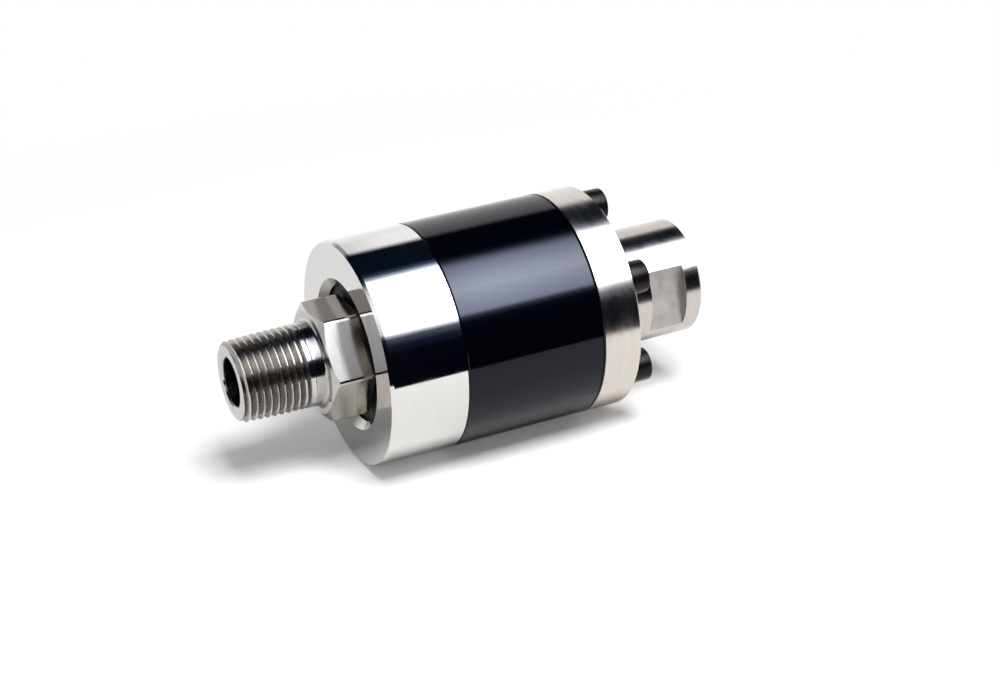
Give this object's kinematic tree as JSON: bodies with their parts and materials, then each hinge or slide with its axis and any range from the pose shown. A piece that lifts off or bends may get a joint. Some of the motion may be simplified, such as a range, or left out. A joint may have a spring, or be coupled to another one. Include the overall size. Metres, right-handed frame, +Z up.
{
  "type": "rotary union",
  "caption": "Rotary union: a taper-threaded hollow rotor turns on ball bearings in a round bolted housing with a rear port, to pass fluid into a turning shaft.",
  "frame": {"origin": "on the turning axis, in the plane of the hex's front face, where the thread's neck meets it", "axes": "+X along the turning axis from the thread to the port, +Z up, two hex corners and both wrench flats of the stub along Y"},
  "size_m": [0.1246, 0.058, 0.058],
  "materials": {
    "rotor_steel": "satin",
    "cover_steel": "polished",
    "flange_steel": "satin",
    "black_anodised": "gloss",
    "black_screw_steel": "satin",
    "seal_rubber": "matte",
    "bearing_steel": "polished",
    "cage_brass": "satin",
    "spring_steel": "satin",
    "clip_steel": "satin",
    "seal_carbon": "matte",
    "seal_carbide": "satin"
  },
  "bodies": {
    "rotor": {"rotor_shaft": "rotor_steel", "front_inner_race": "bearing_steel", "rear_inner_race": "bearing_steel", "inner_spacer": "rotor_steel", "shaft_retaining_ring": "clip_steel", "rotating_seal_ring": "seal_carbide", "drive_pin": "spring_steel", "rotor_oring": "seal_rubber"},
    "housing": {"front_cover": "cover_steel", "bearing_housing": "black_anodised", "rear_flange": "flange_steel", "cap_screws": "black_screw_steel", "shaft_seal": "seal_rubber", "garter_spring": "spring_steel", "front_outer_race": "bearing_steel", "front_bearing_shields": "bearing_steel", "front_retaining_ring": "clip_steel", "rear_outer_race": "bearing_steel", "rear_bearing_shields": "bearing_steel", "rear_retaining_ring": "clip_steel", "seal_spring": "spring_steel", "carrier_oring": "seal_rubber", "antirotation_pins": "spring_steel", "flange_oring": "seal_rubber"},
    "front_ball_set": {"front_balls": "bearing_steel", "front_ball_cage": "cage_brass"},
    "rear_ball_set": {"rear_balls": "bearing_steel", "rear_ball_cage": "cage_brass"},
    "floating_seal": {"carbon_seal_ring": "seal_carbon", "seal_carrier": "flange_steel"}
  },
  "joints": [
    {"name": "housing_spin", "type": "hinge", "parent": "rotor", "child": "housing", "pos_m": [0, 0, 0], "axis": [1, 0, 0], "continuous": true},
    {"name": "front_cage_spin", "type": "hinge", "parent": "rotor", "child": "front_ball_set", "pos_m": [0.0247, 0, 0], "axis": [1, 0, 0], "continuous": true},
    {"name": "rear_cage_spin", "type": "hinge", "parent": "rotor", "child": "rear_ball_set", "pos_m": [0.04795, 0, 0], "axis": [1, 0, 0], "continuous": true},
    {"name": "seal_float", "type": "slide", "parent": "housing", "child": "floating_seal", "axis": [1, 0, 0], "range_m": [0, 0.001], "stiffness_N_per_m": 3000, "springref_m": -0.004, "deforming": ["seal_spring"]}
  ],
  "couplings": [
    {"joint": "front_cage_spin", "follows": "housing_spin", "ratio": 0.58772},
    {"joint": "rear_cage_spin", "follows": "housing_spin", "ratio": 0.58772}
  ]
}
